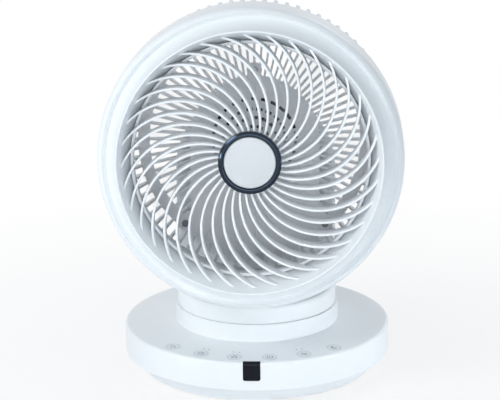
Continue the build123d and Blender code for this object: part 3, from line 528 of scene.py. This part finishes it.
# ---------------------------------------------------------------------
# Front shell: a deep round ring in gloss white ABS that slides over the
# rear shell's rim. Its front rolls over a rim into a shallow groove, then
# over a thin lip into the funnel, which ends in a straight duct.
# ---------------------------------------------------------------------
shell_radius = 116.43
shell_rear = 72.0
shell_shoulder = 100.0
shell_wall = 2.2
rim_radius, rim_ahead = 112.6, 109.0
bulge_radius, bulge_ahead = 115.3, 106.3
groove_radius, groove_ahead = 109.5, 106.2
hollow_radius, hollow_ahead = 111.3, 107.3
slope_radius, slope_ahead = 104.1, 112.9
lip_radius, lip_ahead = 100.6, 122.0
lip_half, lip_root = 0.8, 6.0
lip_side = lip_ahead - lip_half
funnel_radius, funnel_ahead = 91.2, 100.0
duct_rear = 84.0


def arc(start, middle, end, steps):
    """Points of the circle arc through three points, the start left out."""
    (ax, ay), (bx, by), (cx, cy) = start, middle, end
    twice = 2 * (ax * (by - cy) + bx * (cy - ay) + cx * (ay - by))
    a2, b2, c2 = ax * ax + ay * ay, bx * bx + by * by, cx * cx + cy * cy
    ux = (a2 * (by - cy) + b2 * (cy - ay) + c2 * (ay - by)) / twice
    uy = (a2 * (cx - bx) + b2 * (ax - cx) + c2 * (bx - ax)) / twice
    first = math.atan2(ay - uy, ax - ux)
    sweep = (math.atan2(cy - uy, cx - ux) - first) % (2 * math.pi)
    bend = (math.atan2(by - uy, bx - ux) - first) % (2 * math.pi)
    if bend > sweep:
        sweep -= 2 * math.pi
    radius = math.hypot(ax - ux, ay - uy)
    turns = [first + sweep * (k + 1) / steps for k in range(steps)]
    return [(ux + radius * math.cos(turn), uy + radius * math.sin(turn)) for turn in turns]


shoulder = (shell_radius, shell_shoulder)
rim = (rim_radius, rim_ahead)
groove = (groove_radius, groove_ahead)
lip_outer = (lip_radius + lip_half, lip_side)
lip_inner = (lip_radius - lip_half, lip_side)
shell_form = bmesh.new()
turned(shell_form, [
    (shell_radius, shell_rear),
    shoulder,
    *arc(shoulder, (bulge_radius, bulge_ahead), rim, steps=7),
    *arc(rim, (hollow_radius, hollow_ahead), groove, steps=4),
    *arc(groove, (slope_radius, slope_ahead), lip_outer, steps=10),
    *arc(lip_outer, (lip_radius, lip_ahead), lip_inner, steps=6),
    (funnel_radius, funnel_ahead),
    (funnel_radius, duct_rear),
    (funnel_radius + shell_wall, duct_rear),
    (funnel_radius + shell_wall, funnel_ahead),
    (lip_radius - lip_half, lip_ahead - lip_root),
    (slope_radius - shell_wall, slope_ahead - shell_wall / 2),
    (groove_radius - shell_wall / 2, groove_ahead - shell_wall),
    (groove_radius + shell_wall, groove_ahead - shell_wall),
    (rim_radius, bulge_ahead),
    (shell_radius - shell_wall, shell_shoulder),
    (shell_radius - shell_wall, shell_rear),
], steps=192)
front_ring = keep(shell_form, "front_ring", casing_white, head_frame)
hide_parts("front_shell")
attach(front_ring, "head")

# ---------------------------------------------------------------------
# Front grille: thirty-six deep ribs that sweep from the hub cup over a
# thin rim to the funnel, where each is cut to the funnel's slope. Ribs,
# rim and cup are one moulding, and each rib follows one circle arc.
# ---------------------------------------------------------------------
grille_white = plastic("grille_white", (0.90, 0.925, 0.945), rough=0.30)
rib_count = 36
rib_width, rib_depth = 1.7, 12.0
rib_edge = 0.35
rib_steps = 18
rib_curve = 53.5
rib_offset = 54.27
rib_turn = math.radians(77.3)
rib_start, rib_level_end, rib_end = 22.0, 24.1, 97.2
front_hub, front_tip = 112.0, 115.0
rib_rise = (front_tip - front_hub) / (rib_end - rib_level_end)
rim_outer, rim_inner = 91.14, 88.74
rim_front, rim_back = 103.5, 96.0
rim_outer_round, rim_inner_round = 0.4, 0.6
cup_radius, cup_depth, cup_round = 23.2, 8.0, 0.5
cup_back = front_hub - cup_depth
funnel_slope = (lip_radius - lip_half - funnel_radius) / (lip_side - funnel_ahead)


def section(width, depth, rounding, segments):
    """A flat section with rounded corners, from which a bar is drawn."""
    form = bmesh.new()
    bmesh.ops.create_grid(form, x_segments=1, y_segments=1, size=0.5)
    bmesh.ops.scale(form, vec=(width, depth, 1), verts=form.verts)
    bmesh.ops.bevel(
        form, geom=form.verts[:], offset=rounding, segments=segments, profile=0.5,
        affect="VERTICES", material=-1,
    )
    return form


def ring_of(form, count):
    """Repeats a finished form round z until there are so many of it."""
    bmesh.ops.spin(
        form, geom=form.faces[:] + form.edges[:] + form.verts[:], cent=(0, 0, 0),
        axis=(0, 0, 1), dvec=(0, 0, 0), angle=2 * math.pi * (count - 1) / count,
        steps=count - 1, use_merge=False, use_duplicate=True,
    )


def arc_turn(radius, curve=rib_curve):
    """Turn along a rib's arc, from its far side, at a radius of the head."""
    return math.acos((radius**2 - rib_offset**2 - curve**2) / (2 * rib_offset * curve))


rib_form = section(rib_width, rib_depth, rib_edge, segments=2)
rib_middle = Vector((rib_offset * math.cos(rib_turn), rib_offset * math.sin(rib_turn), 0))
rib_from = rib_turn - arc_turn(rib_start)
rib_sweep = arc_turn(rib_start) - arc_turn(rib_end)
rib_place = (
    Matrix.Translation(rib_middle)
    @ Matrix.Rotation(rib_from, 4, "Z")
    @ Matrix.Translation((rib_curve, 0, -rib_depth / 2))
    @ Matrix.Rotation(math.pi / 2, 4, "X")
)
bmesh.ops.transform(rib_form, matrix=rib_place, verts=rib_form.verts)
bmesh.ops.spin(
    rib_form, geom=rib_form.faces[:] + rib_form.edges[:] + rib_form.verts[:], cent=rib_middle,
    axis=(0, 0, 1), dvec=(0, 0, 0), angle=rib_sweep, steps=rib_steps,
    use_merge=False, use_duplicate=False,
)
# The back edge stays level, the front edge rises outwards from the chrome
# ring, and each corner slides along the arc as far as the funnel allows.
for corner in rib_form.verts:
    deep = -corner.co.z / rib_depth
    outward = math.hypot(corner.co.x, corner.co.y)
    front = front_hub + rib_rise * max(outward - rib_level_end, 0)
    corner.co.z = front - deep * (front - front_hub + rib_depth)
    spoke = Vector((corner.co.x - rib_middle.x, corner.co.y - rib_middle.y, 0))
    along = (math.atan2(spoke.y, spoke.x) - rib_from) / rib_sweep
    reach = rim_outer + funnel_slope * (corner.co.z - funnel_ahead)
    slide = along * (arc_turn(rib_start) - arc_turn(reach, spoke.length) - rib_sweep)
    spoke.rotate(Matrix.Rotation(slide, 3, "Z"))
    corner.co.x, corner.co.y = rib_middle.x + spoke.x, rib_middle.y + spoke.y
bmesh.ops.recalc_face_normals(rib_form, faces=rib_form.faces)
ring_of(rib_form, rib_count)

rim_form = bmesh.new()
turned(rim_form, [
    (rim_outer, rim_front, rim_outer_round),
    (rim_inner, rim_front, rim_inner_round),
    (rim_inner, rim_back),
    (rim_outer, rim_back),
], steps=192)
cup_form = bmesh.new()
turned(cup_form, [
    (0, front_hub),
    (cup_radius, front_hub, cup_round),
    (cup_radius, cup_back, cup_round),
    (0, cup_back),
], steps=96)
grille_form = bmesh.new()
for form in (rib_form, rim_form, cup_form):
    pour(form, grille_form)
swept_grille = keep(grille_form, "swept_grille", grille_white, head_frame)
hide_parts("front_grille")
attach(swept_grille, "head")

# ---------------------------------------------------------------------
# Hub: a polished dark chrome ring pressed on the grille's cup, with a
# wide chamfer outside and a narrow one inside, round a plain white disc.
# ---------------------------------------------------------------------
ring_dark_chrome = metal("ring_dark_chrome", (0.030, 0.042, 0.060), rough=0.15)
disc_white = plastic("disc_white", (0.71, 0.74, 0.765), rough=0.38)
ring_radius, ring_height = 24.0, 5.0
disc_radius, disc_height = 19.8, 4.0
disc_gap = 0.12
ring_bore = disc_radius + disc_gap
ring_front, disc_front = front_hub + ring_height, front_hub + disc_height
chamfer_width, chamfer_depth = 1.9, 1.07
inner_width, inner_depth = 0.7, 0.9
ring_foot_round, ring_round, disc_round = 0.3, 0.2, 1.0
ring_form = bmesh.new()
turned(ring_form, [
    (ring_radius, front_hub, ring_foot_round),
    (ring_radius, ring_front - chamfer_depth, ring_round),
    (ring_radius - chamfer_width, ring_front, ring_round),
    (ring_bore + inner_width, ring_front, ring_round),
    (ring_bore, ring_front - inner_depth),
    (ring_bore, front_hub),
], steps=128)
chrome_ring = keep(ring_form, "chrome_ring", ring_dark_chrome, head_frame)
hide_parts("hub_ring")
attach(chrome_ring, "head")
disc_form = bmesh.new()
turned(disc_form, [
    (0, front_hub),
    (disc_radius, front_hub),
    (disc_radius, disc_front, disc_round),
    (0, disc_front),
], steps=128)
hub_disc = keep(disc_form, "hub_disc", disc_white, head_frame)
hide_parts("hub_cap")
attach(hub_disc, "head")

# ---------------------------------------------------------------------
# Rear shell: a satin white moulding of eighty deep slats on rings, with
# a closed keyhole plate that three dark screws hold to the housing. The
# walls of the plate's vent slots are white moulding, but get a near-black
# material as painted shade.
# ---------------------------------------------------------------------
rear_white = plastic("rear_white", (0.90, 0.92, 0.935), rough=0.45)
# Painted shade: a near-black colour for the white vent slot walls, standing in for the shadow in
# the slots.
slot_painted_shade = plastic("slot_painted_shade", (0.012, 0.015, 0.020), rough=0.6, grain=0.15, tint=0.2)
screw_dark = metal("screw_dark", (0.22, 0.24, 0.26), rough=0.35)
vent_start, vent_end = 8.0, 35.0
plate_back, plate_front, plate_skin = 22.0, 25.0, 0.1
slatted_shell = take_over("rear_shell", "slatted_shell", rear_white, "head")
slatted_shell.data.materials.append(slot_painted_shade)
# The wall faces of the vent slots inside the plate take the painted shade material.
for face in slatted_shell.data.polygons:
    spot = face.center - tilt_place
    level = spot.dot(ahead) / mm
    outward = (spot - ahead * spot.dot(ahead)).length / mm
    inside_plate = plate_back + plate_skin < level < plate_front - plate_skin
    if inside_plate and vent_start < outward < vent_end:
        face.material_index = 1
take_over("head_screws", "plate_screws", screw_dark, "head")

# ---------------------------------------------------------------------
# Slat beads: each slat's outer edge swells into a rounded bead of the
# same moulding. It runs from the rim back and round the corner, where it
# thins into the slat.
# ---------------------------------------------------------------------
slat_count = 80
slat_outer, corner_round = 112.7, 14.0
bead_width, bead_depth, bead_edge = 3.4, 2.0, 0.8
bead_front, bead_corner = 65.0, 32.0
bead_steps = 6
bead_thinning = 0.55
bead_form = section(bead_depth, bead_width, bead_edge, segments=1)
bmesh.ops.translate(
    bead_form, vec=(slat_outer - bead_depth / 2, 0, bead_front), verts=bead_form.verts
)
drawn = bmesh.ops.extrude_face_region(bead_form, geom=bead_form.faces[:])["geom"]
drawn_corners = [item for item in drawn if isinstance(item, bmesh.types.BMVert)]
bmesh.ops.translate(bead_form, vec=(0, 0, bead_corner - bead_front), verts=drawn_corners)
bmesh.ops.spin(
    bead_form, geom=drawn, cent=(slat_outer - corner_round, 0, bead_corner), axis=(0, 1, 0),
    dvec=(0, 0, 0), angle=math.pi / 2, steps=bead_steps, use_merge=False, use_duplicate=False,
)
for corner in bead_form.verts:
    past_corner = min(max((bead_corner - corner.co.z) / corner_round, 0), 1)
    corner.co.y *= 1 - bead_thinning * past_corner**2
bmesh.ops.recalc_face_normals(bead_form, faces=bead_form.faces)
ring_of(bead_form, slat_count)
slat_beads = keep(bead_form, "slat_beads", rear_white, head_frame)
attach(slat_beads, "head")

# ---------------------------------------------------------------------
# Motor housing and motor: a white barrel on two steel pins in the neck's
# cradle, the black mounting plate seen through the vents, and the motor
# that the plate carries in a steel can.
# ---------------------------------------------------------------------
pin_steel = metal("pin_steel", (0.62, 0.63, 0.64), rough=0.22)
motor_black = plastic("motor_black", (0.012, 0.015, 0.020), rough=0.55, grain=0.15, tint=0.2)
take_over("motor_housing", "motor_barrel", casing_white, "head")
dress("tilt_pins", pin_steel)
dress("motor_plate", motor_black)
dress("fan_motor", motor_steel)

# ---------------------------------------------------------------------
# Impeller: seven twisted blades and a small hub in one clear moulding,
# held on the motor's steel shaft by a white nut.
# ---------------------------------------------------------------------
clear_plastic = plastic("clear_plastic", (0.94, 0.97, 0.98), rough=0.08, grain=0.0, tint=0.02)
clear_plastic.node_tree.nodes["Principled BSDF"].inputs["Alpha"].default_value = 0.07
take_over("impeller", "clear_impeller", clear_plastic, "fan")
dress("fan_shaft", pin_steel)
take_over("blade_nut", "impeller_nut", rear_white, "fan")
